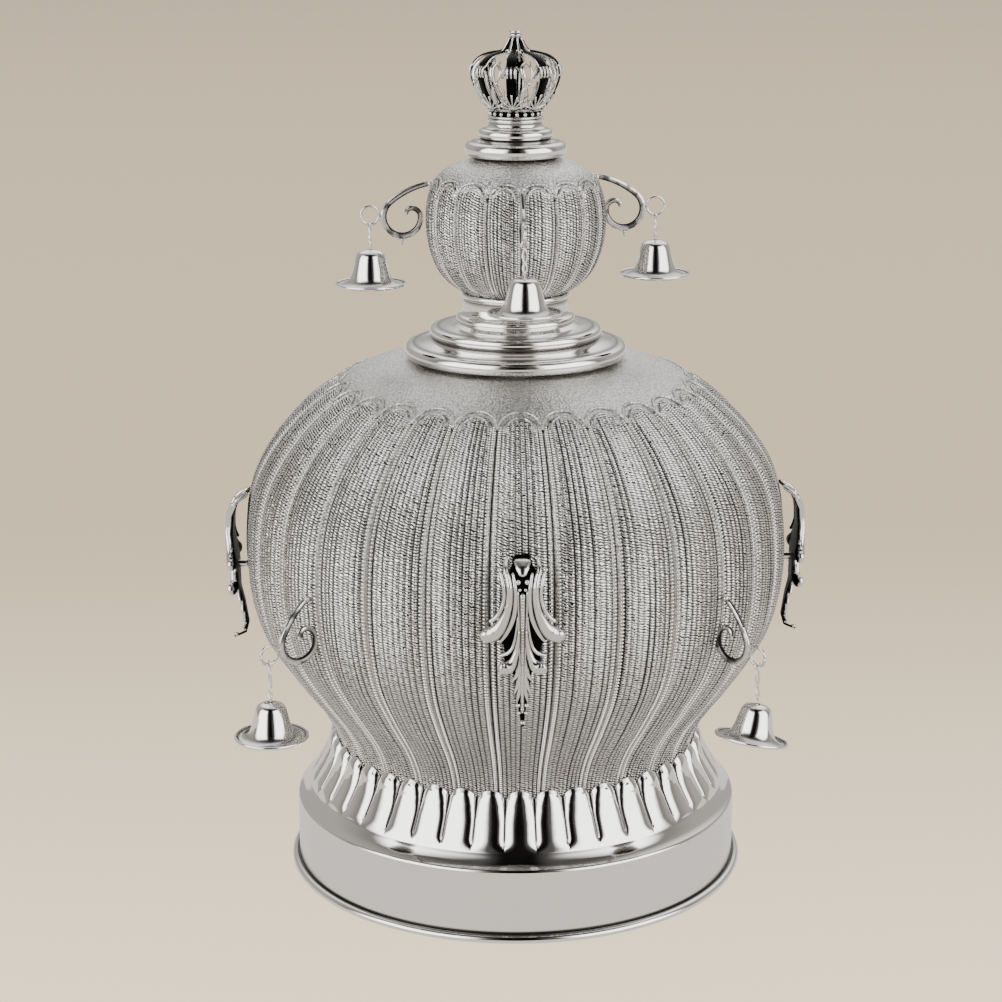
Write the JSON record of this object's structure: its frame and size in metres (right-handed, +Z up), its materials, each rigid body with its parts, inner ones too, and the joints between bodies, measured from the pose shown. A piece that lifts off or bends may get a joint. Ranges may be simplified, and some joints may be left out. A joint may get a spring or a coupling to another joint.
{
  "type": "torah crown",
  "caption": "Silver torah crown: drum with gadrooned shoulder, lobed dome, ringed neck, small lobed bulb, cast finial crown, acanthus leaves and scroll brackets with hanging bells.",
  "frame": {"origin": "centre of the drum's rolled foot, on the surface that it stands on", "axes": "+Z up along the crown's axis; the front leaf faces -Y; +X is to the right seen from the front"},
  "size_m": [0.2331, 0.2331, 0.3365],
  "materials": {
    "polished_silver": "polished",
    "chased_silver": "chased, satin",
    "cast_silver": "cast, oxidised in the hollows"
  },
  "bodies": {
    "root": {"base": "polished_silver", "dome": "chased_silver", "neck": "polished_silver", "bulb": "chased_silver", "cap": "polished_silver", "finial_crown": "cast_silver", "upper_bracket_front": "cast_silver", "upper_link_front": "polished_silver", "upper_bell_front": "polished_silver", "upper_bracket_right": "cast_silver", "upper_link_right": "polished_silver", "upper_bell_right": "polished_silver", "upper_bracket_back": "cast_silver", "upper_link_back": "polished_silver", "upper_bell_back": "polished_silver", "upper_bracket_left": "cast_silver", "upper_link_left": "polished_silver", "upper_bell_left": "polished_silver", "lower_bracket_front_right": "cast_silver", "lower_link_front_right": "polished_silver", "lower_bell_front_right": "polished_silver", "lower_bracket_back_right": "cast_silver", "lower_link_back_right": "polished_silver", "lower_bell_back_right": "polished_silver", "lower_bracket_back_left": "cast_silver", "lower_link_back_left": "polished_silver", "lower_bell_back_left": "polished_silver", "lower_bracket_front_left": "cast_silver", "lower_link_front_left": "polished_silver", "lower_bell_front_left": "polished_silver", "leaf_front": "cast_silver", "leaf_right": "cast_silver", "leaf_back": "cast_silver", "leaf_left": "cast_silver"}
  },
  "joints": []
}
